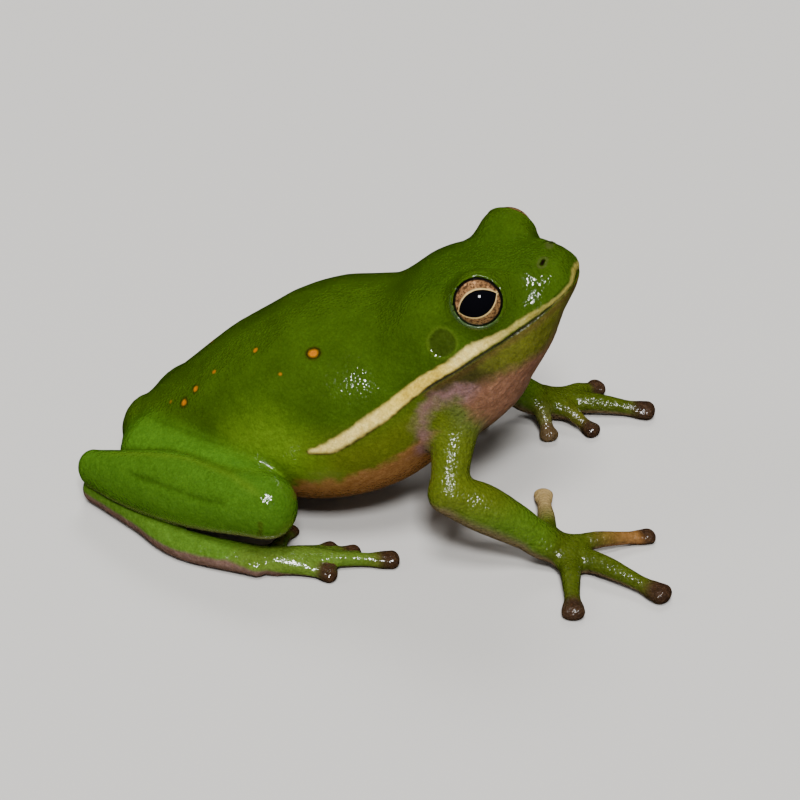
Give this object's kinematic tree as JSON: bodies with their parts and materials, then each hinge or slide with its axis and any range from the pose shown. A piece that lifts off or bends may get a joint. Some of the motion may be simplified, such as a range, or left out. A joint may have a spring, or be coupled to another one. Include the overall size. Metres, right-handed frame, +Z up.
{
  "type": "american green tree frog",
  "caption": "Still life-size tree frog sitting with its head raised, arms spread and hind legs folded at its sides, for displays and nature scenes",
  "frame": {"origin": "the floor point below the middle of the model's box", "axes": "+X ahead, from the rump to the snout and the right hand; +Y to the frog's left; +Z up from the floor"},
  "size_m": [0.0591, 0.0399, 0.0316],
  "materials": {
    "skin": "moist satin skin, leaf green",
    "throat": "satin wrinkled skin, olive to pinkish brown",
    "eye": "wet gloss, bronze iris with a black pupil",
    "eardrum": "satin, thin skin",
    "digit": "moist, olive shaft and glossy brown pad"
  },
  "bodies": {
    "root": {"torso": "skin", "head": "skin", "lower_jaw": "throat", "eye_right": "eye", "eye_left": "eye", "eardrum_right": "eardrum", "eardrum_left": "eardrum", "upper_arm_right": "skin", "upper_arm_left": "skin", "forearm_right": "skin", "forearm_left": "skin", "palm_right": "skin", "palm_left": "skin", "finger_right_1": "digit", "finger_right_2": "digit", "finger_right_3": "digit", "finger_right_4": "digit", "finger_left_1": "digit", "finger_left_2": "digit", "finger_left_3": "digit", "finger_left_4": "digit", "thigh_right": "skin", "thigh_left": "skin", "shank_right": "skin", "shank_left": "skin", "foot_right": "skin", "foot_left": "skin", "toe_right_1": "digit", "toe_right_2": "digit", "toe_right_3": "digit", "toe_right_4": "digit", "toe_right_5": "digit", "toe_left_1": "digit", "toe_left_2": "digit", "toe_left_3": "digit", "toe_left_4": "digit", "toe_left_5": "digit"}
  },
  "joints": []
}
